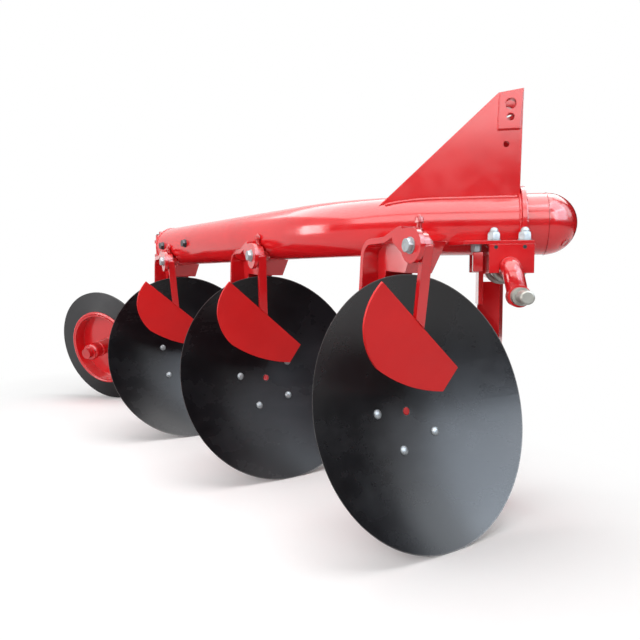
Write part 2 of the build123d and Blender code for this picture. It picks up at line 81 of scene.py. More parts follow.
def design(x, y, z):
    """Point by its place from the ground under disc 1."""
    return Vector((HUBS[1].x + x * MM, HUBS[1].y + y * MM, z * MM))


def polar(radius, angle, height=0.0):
    """Point by radius, angle in radians and height."""
    return Vector((radius * MM * math.cos(angle), radius * MM * math.sin(angle), height * MM))


def turns(count):
    """Angles of a full turn in count steps."""
    return [2 * math.pi * k / count for k in range(count)]


def circle(place, radius, height=0.0, first=0.0, last=360.0, steps=72):
    """Points on an arc between two angles in degrees, round the z axis of a place."""
    angles = [math.radians(first + (last - first) * k / steps) for k in range(steps + 1)]
    return [place @ polar(radius, a, height) for a in angles]


def frame_on(origin, axis, side=None):
    """Matrix of a place whose z points along axis; x is level, or as near to side as it can be."""
    z = Vector(axis).normalized()
    x = Vector(side) if side is not None else UP.cross(z)
    if x.length < MM:
        x = FORWARD.copy()
    x = (x - z * x.dot(z)).normalized()
    y = z.cross(x)
    return Matrix.Translation(origin) @ Matrix((x, y, z)).transposed().to_4x4()


def joint_frame(name):
    """Matrix of a joint's place, z along its axis."""
    return frame_on(*joint_place(name))


def from_behind(place):
    """A place turned round, so that its z points the other way."""
    return place @ Matrix.Rotation(math.pi, 4, "X")


def ray_tree(*names):
    """Search tree over the faces of CAD nodes at rest."""
    verts, faces = [], []
    for name in names:
        base = len(verts)
        mesh = NODES[name].data
        verts.extend(v.co.copy() for v in mesh.vertices)
        faces.extend(tuple(base + k for k in p.vertices) for p in mesh.polygons)
    return BVHTree.FromPolygons(verts, faces)


def cast(tree, start, way):
    """Point and outward normal of the first face that a ray meets, or None."""
    hit, normal, _, _ = tree.ray_cast(start, way.normalized())
    if hit is None:
        return None
    return hit, normal if normal.dot(way) < 0 else -normal


def drop_line(tree, starts, way):
    """Points where rays from starts meet the tree."""
    found = [cast(tree, start, way) for start in starts]
    return [hit[0] for hit in found if hit is not None]


# materials
WHITE = (1.0, 1.0, 1.0)
BLACK = (0.0, 0.0, 0.0)
BEVEL_SAMPLES = 4


def srgb(red, green, blue):
    """Linear colour of an 8-bit one."""
    shares = (c / 255 for c in (red, green, blue))
    return tuple(c / 12.92 if c < 0.04 else ((c + 0.055) / 1.055) ** 2.4 for c in shares)


class Nodes:
    """Short calls for the nodes of one tree."""

    def __init__(self, tree):
        self.tree = tree

    def add(self, kind, **settings):
        node = self.tree.nodes.new("ShaderNode" + kind)
        for key, value in settings.items():
            setattr(node, key, value)
        return node

    def feed(self, socket, value):
        """Links a socket to another, or gives it a value."""
        if isinstance(value, bpy.types.NodeSocket):
            self.tree.links.new(value, socket)
        elif isinstance(value, tuple) and len(value) == 3 and socket.type == "RGBA":
            socket.default_value = (*value, 1)
        else:
            socket.default_value = value

    def math(self, operation, a, b):
        node = self.add("Math", operation=operation)
        self.feed(node.inputs[0], a)
        self.feed(node.inputs[1], b)
        return node.outputs[0]

    def times(self, a, b):
        return self.math("MULTIPLY", a, b)

    def vector(self, operation, a, b=None):
        """Result of a vector operation, a number for a length or a dot product."""
        node = self.add("VectorMath", operation=operation)
        self.feed(node.inputs[0], a)
        if b is not None:
            self.feed(node.inputs[1], b)
        return node.outputs["Value" if operation in ("LENGTH", "DOT_PRODUCT") else "Vector"]

    def mapped(self, vector, **settings):
        """A vector turned or stretched by a mapping node."""
        node = self.add("Mapping")
        self.feed(node.inputs["Vector"], vector)
        for key, value in settings.items():
            self.feed(node.inputs[key], value)
        return node.outputs[0]

    def range(self, value, low, high, to_low=0.0, to_high=1.0):
        """Soft step from to_low to to_high while value goes from low to high."""
        node = self.add("MapRange", interpolation_type="SMOOTHSTEP")
        for socket, item in zip(node.inputs, (value, low, high, to_low, to_high)):
            self.feed(socket, item)
        return node.outputs[0]

    def mix(self, share, a, b):
        node = self.add("Mix", data_type="RGBA")
        self.feed(node.inputs["Factor"], share)
        self.feed(node.inputs["A"], a)
        self.feed(node.inputs["B"], b)
        return node.outputs["Result"]

    def seen(self):
        """One for camera, glossy and transmission rays, zero for diffuse light."""
        path = self.add("LightPath").outputs
        mirrored = self.math("MAXIMUM", path["Is Glossy Ray"], path["Is Transmission Ray"])
        return self.math("MAXIMUM", mirrored, path["Is Camera Ray"])


class Shader(Nodes):
    """A material with one surface shader."""

    def __init__(self, name):
        self.mat = bpy.data.materials.new(name)
        self.mat.use_nodes = True
        super().__init__(self.mat.node_tree)
        self.bsdf = next(n for n in self.tree.nodes if n.type == "BSDF_PRINCIPLED")
        self.place = self.add("TexCoord").outputs["Object"]

    def noise(self, scale, detail, roughness=0.55, place=None):
        node = self.add("TexNoise")
        self.feed(node.inputs["Scale"], scale)
        self.feed(node.inputs["Detail"], detail)
        self.feed(node.inputs["Roughness"], roughness)
        self.feed(node.inputs["Vector"], place or self.place)
        return node.outputs["Fac"]

    def normal(self):
        return self.add("NewGeometry").outputs["Normal"]

    def upward(self):
        """One on faces that look up, zero on walls and undersides."""
        split = self.add("SeparateXYZ")
        self.feed(split.inputs[0], self.normal())
        return self.range(split.outputs["Z"], 0.15, 0.95)

    def rounded(self, radius):
        """Normal that rounds sharp edges over radius."""
        bevel = self.add("Bevel", samples=BEVEL_SAMPLES)
        self.feed(bevel.inputs["Radius"], radius)
        return bevel.outputs[0]

    def edges(self, radius):
        """One along sharp edges, within about radius."""
        turned = self.vector("DOT_PRODUCT", self.rounded(radius), self.normal())
        return self.range(turned, 0.995, 0.90)

    def bump(self, height, strength, distance, under=None):
        node = self.add("Bump")
        self.feed(node.inputs["Height"], height)
        self.feed(node.inputs["Strength"], strength)
        self.feed(node.inputs["Distance"], distance)
        if under is not None:
            self.feed(node.inputs["Normal"], under)
        return node.outputs["Normal"]

    def set(self, **values):
        """Feeds the surface shader and gives the material."""
        for key, value in values.items():
            self.feed(self.bsdf.inputs[key.replace("_", " ")], value)
        return self.mat


PAINT_DUST = srgb(196, 168, 160)
PAINT_CHIP = srgb(92, 52, 48)
PAINT_WEAR = 0.5
PAINT_EDGE = 0.0024
CHIP_REACH = 0.0022
RIM_REACH = 0.003


def paint(name, colour, shade, roughness=(0.15, 0.25), dust=0.10, coat=0.4, peel=0.08, gleam=0.5):
    """Sprayed gloss paint: uneven film, orange peel, dust on top, chipped edges."""
    s = Shader(name)
    tone = s.mix(s.range(s.noise(5.0, 4.0), 0.35, 0.7), colour, shade)
    cloud = s.times(s.upward(), s.range(s.noise(14.0, 5.0, 0.6), 0.35, 0.75))
    dusty = s.mix(s.times(cloud, dust), tone, PAINT_DUST)
    chips = s.times(s.edges(CHIP_REACH), s.range(s.noise(95.0, 4.0, 0.7), 0.52, 0.62))
    worn = s.mix(s.times(chips, PAINT_WEAR), dusty, PAINT_CHIP)
    gloss = s.range(s.noise(22.0, 4.0), 0.3, 0.7, *roughness)
    fine = s.bump(s.noise(420.0, 2.0), peel, 0.0008, s.rounded(PAINT_EDGE))
    return s.set(
        Base_Color=worn,
        Roughness=s.math("ADD", gloss, s.times(chips, 0.3)),
        Normal=s.bump(s.noise(28.0, 2.0), 0.05, 0.004, fine),
        Coat_Weight=coat,
        Coat_Roughness=0.10,
        Specular_IOR_Level=gleam,
    )


# the two rear discs are duller, as in the photograph
DISC_GLEAM = {1: 0.38, 2: 0.17, 3: 0.24}
ENAMEL, ENAMEL_LIGHT = srgb(16, 14, 17), srgb(25, 25, 29)
# the last colour here is a painted glint along the disc's sharp rim
ENAMEL_HAZE, ENAMEL_RIM_GLINT = srgb(84, 82, 84), srgb(120, 118, 118)
RINGS_PER_METRE = 90.0


def disc_paint(name, i):
    """Black enamel on pressed steel, with faint rolling rings and smears of dust, and a lighter rim
    that is a painted glint.
    """
    s = Shader(name)
    local = s.vector("SUBTRACT", s.place, HUBS[i])
    from_hub = s.times(s.vector("LENGTH", local), RINGS_PER_METRE)
    rings = s.noise(1.0, 5.0, 0.6, place=from_hub)
    blotch = s.noise(6.0, 5.0, 0.6, place=local)
    smear = s.noise(3.0, 5.0, 0.65, place=s.mapped(local, Scale=(1.0, 1.0, 3.2)))
    base = s.mix(s.range(blotch, 0.3, 0.75), ENAMEL, ENAMEL_LIGHT)
    hazed = s.mix(s.times(s.range(smear, 0.45, 0.8), 0.12), base, ENAMEL_HAZE)
    film = s.range(blotch, 0.25, 0.75, 0.22, 0.30)
    return s.set(
        # the rim is painted lighter along sharp edges: a painted glint
        Base_Color=s.mix(s.times(s.edges(RIM_REACH), 0.7), hazed, ENAMEL_RIM_GLINT),
        Roughness=s.math("ADD", film, s.times(s.range(smear, 0.4, 0.8), 0.06)),
        Normal=s.bump(s.noise(260.0, 3.0), 0.05, 0.0008, s.bump(rings, 0.04, 0.001)),
        Specular_IOR_Level=DISC_GLEAM[i],
        Coat_Weight=0.08,
        Coat_Roughness=0.30,
    )


RING_DARK, RING_LIGHT, RING_RIM = srgb(20, 19, 21), srgb(32, 31, 34), srgb(96, 92, 90)


def satin_black(name):
    """Dark steel with rolling skin."""
    s = Shader(name)
    blotch = s.noise(9.0, 5.0, 0.6)
    base = s.mix(s.range(blotch, 0.3, 0.75), RING_DARK, RING_LIGHT)
    return s.set(
        Base_Color=s.mix(s.times(s.edges(RIM_REACH), 0.5), base, RING_RIM),
        Roughness=s.range(blotch, 0.25, 0.75, 0.42, 0.55),
        Normal=s.bump(s.noise(300.0, 3.0), 0.12, 0.001),
        Specular_IOR_Level=0.3,
    )


GRIME = srgb(70, 62, 58)
GRAIN_SHADE = 0.72


def bare_metal(name, colour, roughness, metallic=0.5):
    """Plated or machined steel with fine scratches and some grime."""
    s = Shader(name)
    dark = tuple(c * GRAIN_SHADE for c in colour)
    tone = s.mix(s.range(s.noise(60.0, 4.0, 0.6), 0.3, 0.75), colour, dark)
    grime = s.times(s.range(s.noise(34.0, 5.0, 0.7), 0.55, 0.75), 0.5)
    return s.set(
        Base_Color=s.mix(grime, tone, GRIME),
        Roughness=s.range(s.noise(120.0, 3.0), 0.3, 0.7, *roughness),
        Normal=s.bump(s.noise(700.0, 2.0), 0.10, 0.0005),
        Metallic=metallic,
    )


RED = paint("red_paint", srgb(210, 24, 30), srgb(198, 18, 25))
# painted shade: a darker copy of the red paint for hubs, nuts, the nose seam and small parts that
# sit in shadow; it also carries more dust
RED_SHADED = paint("red_paint_shaded", srgb(190, 24, 28), srgb(168, 18, 22), dust=0.16)
RED_FLAT = paint(
    "red_paint_scraper", srgb(214, 26, 27), srgb(206, 22, 24),
    roughness=(0.40, 0.52), coat=0.0, peel=0.2, gleam=0.25,
)
DISC_BLACK = {f"disc_{i}": disc_paint(f"disc_enamel_{i}", i) for i in UNITS}
RING_BLACK = satin_black("ring_steel")
STEEL = bare_metal("bare_steel", srgb(158, 157, 150), (0.38, 0.52))
ZINC = bare_metal("zinc_plate", srgb(158, 163, 166), (0.36, 0.5))
DARK_STEEL = bare_metal("dark_steel", srgb(66, 62, 64), (0.35, 0.5), metallic=0.4)
# painted shade: a dark finish for patches that stand in for the shadow inside holes
HOLE_SHADE_PAINT = satin_black("painted_hole_shade")

# finishes of the CAD nodes by the start of their names; all others are red
FINISHES = {
    "wheel_ring": RING_BLACK,
    "scraper_plate": RED_FLAT,
    # the hubs take the darker red, which is painted shade
    "disc_hub": RED_SHADED,
    "wheel_hub": RED_SHADED,
    "link_pin": STEEL,
    "disc_spindle": STEEL,
}


def finish_of(node):
    if node in DISC_BLACK:
        return DISC_BLACK[node]
    return next((finish for start, finish in FINISHES.items() if node.startswith(start)), RED)


def paint_nodes():
    for name, obj in NODES.items():
        obj.data.materials.clear()
        obj.data.materials.append(finish_of(name))


# small solids, gathered into one mesh for each body and finish
AXIS_R = 0.1  # radius of the cap that closes a turned solid on its axis
SINK = 1  # how far a part is let into the face that it stands on
SHARP_ANGLE, BLOCK_SHARP_ANGLE = 32, 40
HEX_POINTS = 36
HEX_TOP_SHARE = 0.96
DOME_WALL_SHARE = 0.25
DOME_STEPS = 6


def in_scene(name, data):
    """Object of some data, in the scene's own collection."""
    obj = bpy.data.objects.new(name, data)
    bpy.context.scene.collection.objects.link(obj)
    return obj


def add_piece(name, mesh, body, material, sharp=SHARP_ANGLE):
    """Makes a mesh a piece that moves with a body, smooth but for its sharp edges."""
    for polygon in mesh.polygons:
        polygon.use_smooth = True
    obj = in_scene(name, mesh)
    mesh.set_sharp_from_angle(angle=math.radians(sharp))
    mesh.materials.append(material)
    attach(obj, body)


class Batch:
    """Collects small solids and makes one piece of them."""

    def __init__(self):
        self.verts = []
        self.faces = []

    def skin(self, rings):
        """Closed solid over rings of as many points each."""
        base = len(self.verts)
        count = len(rings[0])
        top = base + (len(rings) - 1) * count
        for ring in rings:
            self.verts.extend(ring)
        for k in range(len(rings) - 1):
            for j in range(count):
                a, b = base + k * count + j, base + k * count + (j + 1) % count
                self.faces.append((a, b, b + count, a + count))
        self.faces.append(tuple(base + j for j in reversed(range(count))))
        self.faces.append(tuple(top + j for j in range(count)))

    def lathe(self, place, profile, sides=24):
        """Turned solid: profile is pairs of radius and height."""
        self.skin([[place @ polar(r, a, z) for a in turns(sides)] for r, z in profile])

    def plate(self, place, radius, low, high, sides=32, inner=AXIS_R):
        """Flat round plate between two heights."""
        self.lathe(place, [(inner, low), (radius, low), (radius, high), (inner, high)], sides)

    def hexagon(self, place, flats, low, high, crown=0.12):
        """Hex head or nut; crown is the share of its height that is chamfered."""
        corner = flats / math.sqrt(3)

        def ring(z, limit):
            points = []
            for a in turns(HEX_POINTS):
                wedge = (a % (math.pi / 3)) - math.pi / 6
                points.append(place @ polar(min(flats / 2 / math.cos(wedge), limit), a, z))
            return points

        shoulder = high - (high - low) * crown
        top = flats / 2 * HEX_TOP_SHARE
        self.skin([ring(low, corner), ring(shoulder, corner), ring(high, top)])

    def nut(self, place, washer, flats, top, crown=0.3, low=0.0, sides=32):
        """Hex nut or head on its washer; washer is a radius and a height."""
        radius, seat = washer
        self.plate(place, radius, low, seat, sides)
        self.hexagon(place, flats, seat, top, crown)

    def dome(self, place, radius, height, low=0.0):
        """Round head with a short wall and a rounded top."""
        wall = height * DOME_WALL_SHARE
        profile = [(radius, low), (radius, low + wall)]
        for k in range(1, DOME_STEPS + 1):
            a = math.pi / 2 * k / DOME_STEPS
            rise = low + wall + (height - wall) * math.sin(a)
            profile.append((max(radius * math.cos(a), AXIS_R), rise))
        self.lathe(place, profile)

    def tube(self, points, radius, sides=12, swell=None):
        """Round bar along points; swell gives each ring's share of the radius."""
        rings = []
        side = None
        for k, point in enumerate(points):
            along = (points[min(k + 1, len(points) - 1)] - points[max(k - 1, 0)]).normalized()
            side = side if side is not None else along.orthogonal()
            side = (side - along * side.dot(along)).normalized()
            other = along.cross(side)
            r = radius * MM * (swell[k] if swell else 1.0)
            rings.append([
                point + side * (r * math.cos(a)) + other * (r * math.sin(a)) for a in turns(sides)
            ])
        self.skin(rings)

    def piece(self, name, body, material, slot):
        mesh = bpy.data.meshes.new(name)
        mesh.from_pydata([tuple(v) for v in self.verts], [], self.faces)
        mesh.validate()
        bm = bmesh.new()
        bm.from_mesh(mesh)
        bmesh.ops.recalc_face_normals(bm, faces=bm.faces)
        bm.to_mesh(mesh)
        bm.free()
        add_piece(name, mesh, body, material)


def rounded_block(name, low, high, radius, body, material):
    """Block between two corners with rounded edges."""
    bm = bmesh.new()
    bmesh.ops.create_cube(bm, size=1.0)
    for vert in bm.verts:
        vert.co = Vector(low[k] + (high[k] - low[k]) * (vert.co[k] + 0.5) for k in range(3))
    bmesh.ops.bevel(
        bm, geom=bm.edges[:], offset=radius * MM, segments=3, affect="EDGES", profile=0.5
    )
    mesh = bpy.data.meshes.new(name)
    bm.to_mesh(mesh)
    bm.free()
    add_piece(name, mesh, body, material, BLOCK_SHARP_ANGLE)


# places on the beam, the legs and the brackets
BEAM_BOX, PAD_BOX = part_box("beam"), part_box("hitch_saddle")
BEAM_Z = (BEAM_BOX[0].z + BEAM_BOX[1].z) / 2 / MM
BEAM_Y = ((PAD_BOX[0].y + PAD_BOX[1].y) / 2 - HUBS[1].y) / MM
BEAM_TAIL, REAR_RUN_N = 60, -38.2
LEG_FRONT, LEG_BACK, LEG_HALF = 2, 98, 54
LEG_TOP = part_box("leg_1")[1].z / MM
BRACKET_S, BRACKET_N, BRACKET_TURN = -77, -140, 13
EYE_U, EYE_END, EYE_Z = 13, 32, BEAM_Z - 64

# nuts and heads
DISC_NUT = {"washer": (13, 2.5), "flats": 19, "top": 12, "crown": 0.12, "sides": 24}
ARM_NUT = {"washer": (18, 3), "flats": 30, "top": 17, "crown": 0.25, "low": -SINK}
BEAM_BOLT = {"washer": (15, 3), "flats": 24, "top": 13, "low": -SINK}
UBOLT_NUT = {"washer": (16, 3), "flats": 27, "top": 20}
PAD_NUT = {"washer": (13, 3), "flats": 22, "top": 17}
SLEEVE_SCREW = {"washer": (14, 8), "flats": 19, "top": 19, "low": -SINK}


def bracket_turn():
    return Matrix.Rotation(math.radians(-BRACKET_TURN), 3, "Z")


def on_bracket(i, u, z, n=0.0):
    """Point on a scraper bracket's turned plane."""
    turn = bracket_turn()
    origin = at_unit(i, BRACKET_S, BRACKET_N, z)
    return origin + (turn @ LINE) * (u * MM) + (turn @ ACROSS) * (n * MM)


# bolts of the disc units
BOLT_CIRCLE_R = 98
BOLT_HEAD_R, BOLT_HEAD_H = 12, 8
BOLT_TIP_R, BOLT_TIP_H = 5.5, 17
BOLTS_PER_DISC = 5
FIRST_BOLT_ANGLE = {1: 34.0, 2: 29.0, 3: 7.0}
IN_FRONT, AT_BACK = 100, -300


def disc_bolts(i):
    """Round heads on the face of a disc, and their nuts on the flange of its hub."""
    heads, nuts = Batch(), Batch()
    face, flange = ray_tree(f"disc_{i}"), ray_tree(f"disc_hub_{i}")
    place = joint_frame(f"disc_{i}_spin")
    axis = place.col[2].to_3d()
    for k in range(BOLTS_PER_DISC):
        a = math.radians(FIRST_BOLT_ANGLE[i] + 360 / BOLTS_PER_DISC * k)
        hit, normal = cast(face, place @ polar(BOLT_CIRCLE_R, a, IN_FRONT), -axis)
        heads.dome(frame_on(hit, normal), BOLT_HEAD_R, BOLT_HEAD_H, low=-SINK)
        back, outward = cast(flange, place @ polar(BOLT_CIRCLE_R, a, AT_BACK), axis)
        seat = frame_on(back, outward)
        nuts.nut(seat, **DISC_NUT)
        nuts.dome(seat, BOLT_TIP_R, BOLT_TIP_H)
    heads.piece(f"disc_bolts_{i}", f"disc_{i}_rotor", ZINC, "steel")
    nuts.piece(f"disc_nuts_{i}", f"disc_{i}_rotor", ZINC, "steel")


HOUSING_BACK, SPINDLE_BACK = 252, 268
SPINDLE_WASHER_R, SPINDLE_WASHER_IN, SPINDLE_WASHER_T = 46, 28, 4
SPINDLE_NUT_FLATS, SPINDLE_NUT_TOP = 66, 15
NIPPLE_FLATS, NIPPLE_SEAT, NIPPLE_R, NIPPLE_H = 11, 4, 3.5, 12


def spindle_end(i):
    """Nut, washer and grease nipple on the back of a disc's bearing housing."""
    batch = Batch()
    place = from_behind(joint_frame(f"disc_{i}_spin"))
    seat = HOUSING_BACK + SPINDLE_WASHER_T
    batch.plate(place, SPINDLE_WASHER_R, HOUSING_BACK, seat, 40, SPINDLE_WASHER_IN)
    batch.hexagon(place, SPINDLE_NUT_FLATS, seat, HOUSING_BACK + SPINDLE_NUT_TOP)
    batch.hexagon(place, NIPPLE_FLATS, SPINDLE_BACK, SPINDLE_BACK + NIPPLE_SEAT)
    batch.dome(place, NIPPLE_R, NIPPLE_H, low=SPINDLE_BACK)
    batch.piece(f"spindle_nut_{i}", "frame", DARK_STEEL, "steel")


ARM_WASHER = ((AXIS_R, -SINK), (18, -SINK), (18, 2.5), (16.5, 3), (AXIS_R, 3))
ARM_HEAD_FLATS, ARM_HEAD_SEAT, ARM_HEAD_TOP = 29, 3, 13
ARM_TIP_R, ARM_TIP_H, ARM_TIP_LOW = 9.5, 12, 16


def clamp_bolt(i):
    """Bolt through the bracket's eye and the eye of the scraper arm."""
    head, tail = Batch(), Batch()
    inward = bracket_turn() @ ACROSS
    outer = frame_on(on_bracket(i, EYE_U, EYE_Z), -inward)
    head.lathe(outer, ARM_WASHER, 32)
    head.hexagon(outer, ARM_HEAD_FLATS, ARM_HEAD_SEAT, ARM_HEAD_TOP, crown=0.3)
    inner = frame_on(on_bracket(i, EYE_U, EYE_Z, EYE_END), inward)
    tail.nut(inner, **ARM_NUT)
    tail.dome(inner, ARM_TIP_R, ARM_TIP_H, low=ARM_TIP_LOW)
    head.piece(f"scraper_bolt_{i}", "frame", ZINC, "steel")
    tail.piece(f"scraper_nut_{i}", "frame", RED_SHADED, "paint_red")


PINCH_UP, PINCH_IN = 28, 10
PINCH_SHANK = ((AXIS_R, 0), (9, 0), (9, 7), (6, 8), (6, 22), (AXIS_R, 22))
PINCH_FLATS, PINCH_LOW, PINCH_TOP = 17, 20, 33
PINCH_TIP_R, PINCH_TIP_H = 4.5, 5


def set_screw(i):
    """Pinch screw that stands on the eye of the scraper arm."""
    batch = Batch()
    place = frame_on(on_bracket(i, EYE_U, EYE_Z + PINCH_UP, EYE_END - PINCH_IN), UP, LINE)
    batch.lathe(place, PINCH_SHANK)
    batch.hexagon(place, PINCH_FLATS, PINCH_LOW, PINCH_TOP, crown=0.25)
    batch.dome(place, PINCH_TIP_R, PINCH_TIP_H, low=PINCH_TOP)
    batch.piece(f"set_screw_{i}", "frame", RED_SHADED, "paint_red")


BEAM_BOLTS_S, BEAM_BOLTS_Z, NEAR_SIDE_N = (-5, -208), 760, -400


def beam_bolts():
    """Bolt heads on the near side of the beam at the last unit."""
    batch = Batch()
    tree = ray_tree("beam", "beam_cap")
    for s in BEAM_BOLTS_S:
        start = at_unit(3, s, NEAR_SIDE_N, BEAM_BOLTS_Z)
        batch.nut(frame_on(*cast(tree, start, ACROSS)), **BEAM_BOLT)
    batch.piece("beam_bolts", "frame", DARK_STEEL, "steel")


# hitch
PAD_TOP_Z, PAD_HALF, SHAFT_Z = 715, 115, 655
UBOLT_X, UBOLT_Y, UBOLT_R = 177, 27, 34.5
UBOLT_BAR_R, UBOLT_OVER, UBOLT_STEPS = 7, 22, 16
UBOLT_TIP_R, UBOLT_TIP_H = 10, 12
UBOLT_NUT_SIDE, PAD_NUT_SIDE = Vector((1, 0.35, 0)), Vector((1, 0.2, 0))
PAD_NUT_X, PAD_NUT_Y, PAD_NUT_Z = 103, 33, PAD_TOP_Z - 8
BOX_HOLES_X, BOX_HOLE_Z, BOX_HOLE_R, BOX_HOLE_H = (UBOLT_X - 31, UBOLT_X + 33), 700, 4.6, 0.3
STOP_X, STOP_Z, STOP_ROUND = (96, 119), (644, 690), 2
STOP_Y = {"right": (26, 62), "left": (188, 224)}


def both_sides(y):
    """A distance across and its mirror image at the middle of the hitch."""
    return y, 2 * BEAM_Y - y


def hitch_clamps():
    """U-bolts that hold the cross shaft up under the saddle, with all nuts on and under its pads."""
    bars, nuts = Batch(), Batch()
    feet = (UBOLT_X - UBOLT_R, UBOLT_X + UBOLT_R)
    for y in both_sides(UBOLT_Y):
        bend = []
        for k in range(UBOLT_STEPS + 1):
            a = math.pi * k / UBOLT_STEPS
            drop = UBOLT_R * math.sin(a)
            bend.append(design(UBOLT_X - UBOLT_R * math.cos(a), y, SHAFT_Z - drop))
        first, last = (design(x, y, PAD_TOP_Z + UBOLT_OVER) for x in feet)
        bars.tube([first, *bend, last], UBOLT_BAR_R, 14)
        for x in feet:
            seat = frame_on(design(x, y, PAD_TOP_Z), UP, UBOLT_NUT_SIDE)
            nuts.nut(seat, **UBOLT_NUT)
            nuts.dome(seat, UBOLT_TIP_R, UBOLT_TIP_H, low=UBOLT_NUT["top"])
    for y in both_sides(PAD_NUT_Y):
        nuts.nut(frame_on(design(PAD_NUT_X, y, PAD_NUT_Z), -UP, PAD_NUT_SIDE), **PAD_NUT)
    bars.piece("shaft_u_bolts", "frame", STEEL, "steel")
    nuts.piece("hitch_nuts", "frame", ZINC, "steel")


def box_end_shade_patches():
    """Painted shade: dark patches on the end plates of the bearing box, where holes would show their
    shadow.
    """
    holes = Batch()
    for side in (-1, 1):
        for x in BOX_HOLES_X:
            face = design(x, BEAM_Y + side * PAD_HALF, BOX_HOLE_Z)
            place = frame_on(face, Vector((0, side, 0)))
            holes.plate(place, BOX_HOLE_R, -SINK, BOX_HOLE_H, sides=24)
    holes.piece("box_end_shade_patches", "frame", HOLE_SHADE_PAINT, "paint_red")


def saddle_stops():
    """Two small blocks behind the bearing box."""
    for side, (near, far) in STOP_Y.items():
        low = design(STOP_X[0], near, STOP_Z[0])
        high = design(STOP_X[1], far, STOP_Z[1])
        rounded_block(f"saddle_stop_{side}", low, high, STOP_ROUND, "frame", RED_SHADED)


# weld beads
BEAD_SIDES = 8
BEAD_END = 0.45


def resample(points, gap):
    """Points about gap metres apart along a run."""
    out = [points[0]]
    for a, b in zip(points, points[1:]):
        count = max(1, round((b - a).length / gap))
        out += [a.lerp(b, k / count) for k in range(1, count + 1)]
    return out


def weld(batch, points, radius, ring=False):
    """Rippled weld bead along points; its ends are thin unless it is a ring."""
    path = resample(points, radius * MM * 0.9)
    swell = [1 + 0.13 * math.sin(k * 2.1) + 0.06 * math.sin(k * 0.37) for k in range(len(path))]
    if not ring:
        swell[0] = swell[-1] = BEAD_END
    batch.tube(path, radius, BEAD_SIDES, swell)


MAST_SIDES = (BEAM_Y - 40, BEAM_Y + 40)
MAST_FOOT_BACK, MAST_FOOT_FRONT = (-118, -98), 203
MAST_FOOT_STEP, MAST_FOOT_BEAD, OVER_BEAM = 8, 4.2, 950
MAST_SEAM = ((156, 300), (152, 223), (202, 223), (207, 308))  # x, and z over the beam's middle
MAST_SEAM_BEAD = 2.6


def mast_welds(batch):
    """Beads at the feet of the two mast plates and round the seam between them."""
    beam = ray_tree("beam")
    right, left = MAST_SIDES
    for y, back in zip((right - 2, left + 2), MAST_FOOT_BACK):
        count = int((MAST_FOOT_FRONT - back) / MAST_FOOT_STEP) + 1
        starts = [design(back + MAST_FOOT_STEP * k, y, OVER_BEAM) for k in range(count)]
        weld(batch, drop_line(beam, starts, -UP), MAST_FOOT_BEAD)
    for y in (right - 1, left + 1):
        weld(batch, [design(x, y, BEAM_Z + z) for x, z in MAST_SEAM], MAST_SEAM_BEAD)


HOOP_EDGES_X, HOOP_R, HOOP_BEAD = (205.5, 218.5), 77, 3.6
BOX_EDGES_X, BOX_EDGE_Y, BOX_EDGE_Z, BOX_BEAD = (129.5, 232.5), (22, 228), 706, 3.2
PAD_EDGE_X, PAD_EDGE_OUT, PAD_EDGE_Z, PAD_BEAD = (76, 203), 61, 716, 3.8
NOSE_SEAM_X, NOSE_SEAM_R, NOSE_SEAM_BEAD = 269, 75.1, 1.3


def hitch_welds(batch):
    """Beads on the hoop, the bearing box and the pads of the saddle, and the seam of the nose."""
    nose = frame_on(design(0, BEAM_Y, BEAM_Z), FORWARD)
    for x in HOOP_EDGES_X:
        weld(batch, circle(nose, HOOP_R, x), HOOP_BEAD, ring=True)
    for x in BOX_EDGES_X:
        weld(batch, [design(x, y, BOX_EDGE_Z) for y in BOX_EDGE_Y], BOX_BEAD)
    for side in (-1, 1):
        y = BEAM_Y + side * PAD_EDGE_OUT
        weld(batch, [design(x, y, PAD_EDGE_Z) for x in PAD_EDGE_X], PAD_BEAD)
    # the nose seam is a thin bead in the darker red: painted shade for the shadow in its groove
    seam = Batch()
    seam.tube(circle(nose, NOSE_SEAM_R, NOSE_SEAM_X), NOSE_SEAM_BEAD, BEAD_SIDES)
    seam.piece("nose_seam", "frame", RED_SHADED, "paint_red")


LEG_BEAD, LEG_SIDE_BEAD = 4.2, 4.0
LEG_RAYS_N, UNDER_BEAM = range(-52, 53, 4), 550


def unit_welds(batch, i):
    """Beads where the head of a leg meets the beam, and along its two sides."""
    beam = ray_tree("beam", "beam_cap")
    for s in (LEG_FRONT - 2, LEG_BACK + 2):
        starts = [at_unit(i, s, n, UNDER_BEAM) for n in LEG_RAYS_N]
        line = [p for p in drop_line(beam, starts, UP) if p.z < (LEG_TOP + 6) * MM]
        if len(line) > 2:
            weld(batch, line, LEG_BEAD)
    for n in (-LEG_HALF - 1, LEG_HALF + 1):
        weld(batch, [at_unit(i, s, n, LEG_TOP - 2) for s in (LEG_FRONT, LEG_BACK)], LEG_SIDE_BEAD)


CAP_R, CAP_BEAD = 75.4, 2.6
SLEEVE_R, SLEEVE_HALF, SLEEVE_BEAD = 37, 37, 2.8


def tail_welds(batch):
    """Beads round the beam's end cap, and where the wheel's sleeve meets its bracket."""
    end = at_unit(3, BEAM_TAIL, REAR_RUN_N, BEAM_Z)
    weld(batch, circle(frame_on(end, LINE), CAP_R), CAP_BEAD, ring=True)
    toward = level(KING, 0) - level(end + LINE * (12 * MM), 0)
    for z in (BEAM_Z - SLEEVE_HALF, BEAM_Z + SLEEVE_HALF):
        place = frame_on(level(KING, z), UP, toward)
        weld(batch, circle(place, SLEEVE_R, first=120, last=240, steps=24), SLEEVE_BEAD)


def frame_welds():
    batch = Batch()
    mast_welds(batch)
    hitch_welds(batch)
    for i in UNITS:
        unit_welds(batch, i)
    tail_welds(batch)
    batch.piece("weld_beads", "frame", RED, "paint_red")


